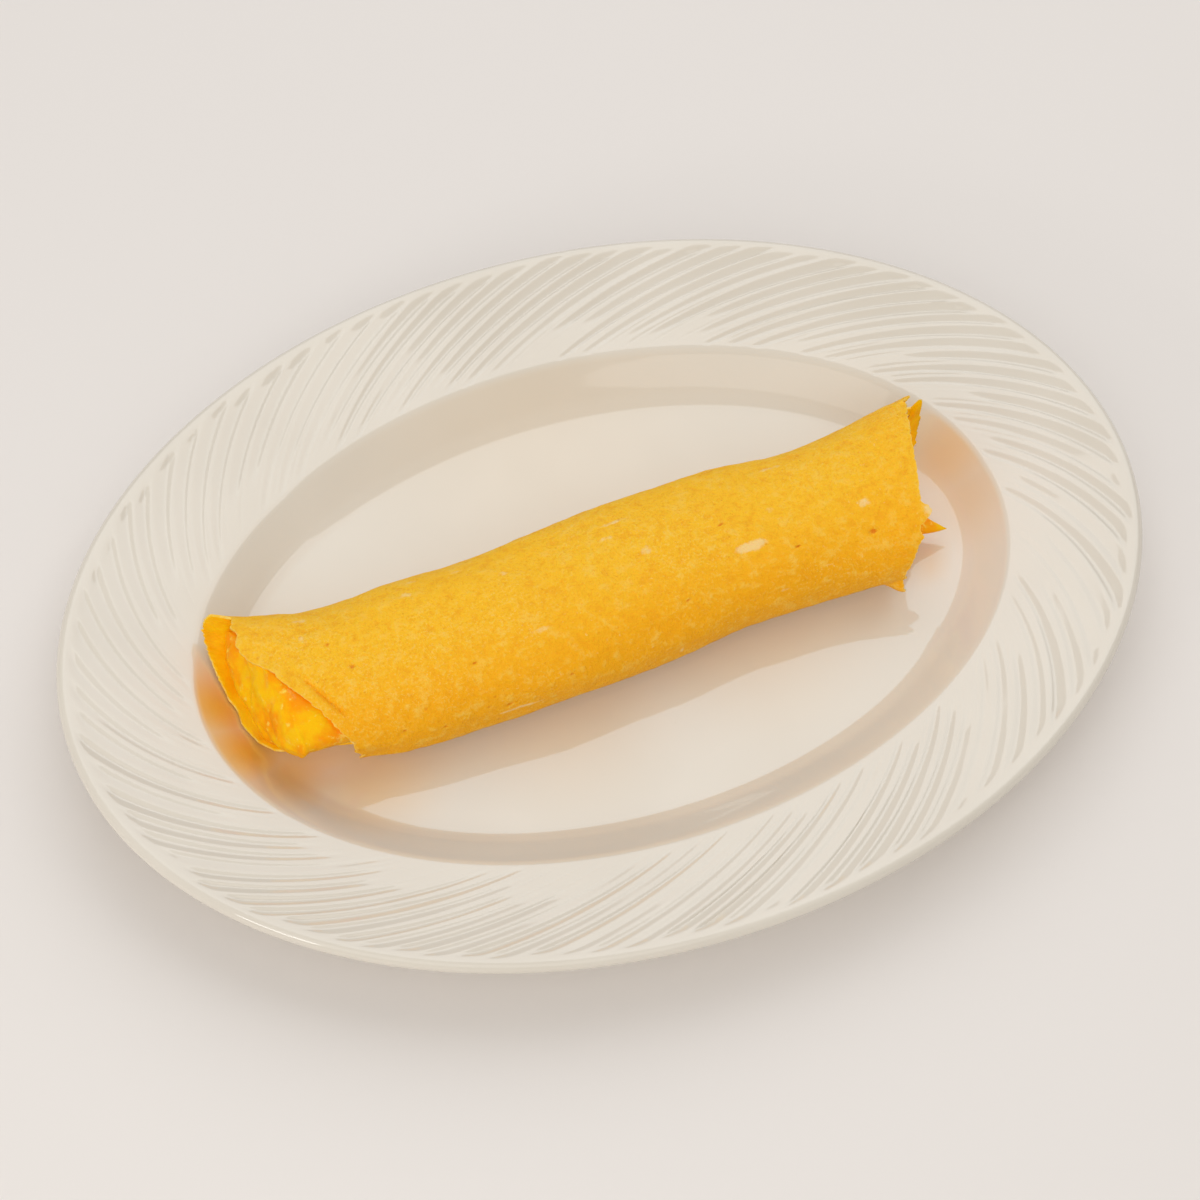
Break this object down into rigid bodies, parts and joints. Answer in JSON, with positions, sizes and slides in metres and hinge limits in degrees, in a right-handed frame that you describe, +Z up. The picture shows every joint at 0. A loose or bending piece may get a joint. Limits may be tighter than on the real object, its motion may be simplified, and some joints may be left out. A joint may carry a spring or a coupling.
{
  "type": "rolled omelette on a plate",
  "caption": "Rolled plain omelette with open ends showing a soft filling, on an oval white plate with a swirl-ribbed rim.",
  "frame": {"origin": "the middle of the plate's foot, on the surface that the plate stands on", "axes": "+X along the plate's long axis towards the omelette's torn end, +Y across the plate away from the omelette's free edge, +Z up"},
  "size_m": [0.2918, 0.2146, 0.0377],
  "materials": {
    "glaze": "glossy warm white glaze",
    "egg_skin": "matt, finely pored cooked egg",
    "filling": "moist and soft"
  },
  "bodies": {
    "root": {"plate": "glaze", "egg_skin": "egg_skin", "filling": "filling"}
  },
  "joints": []
}
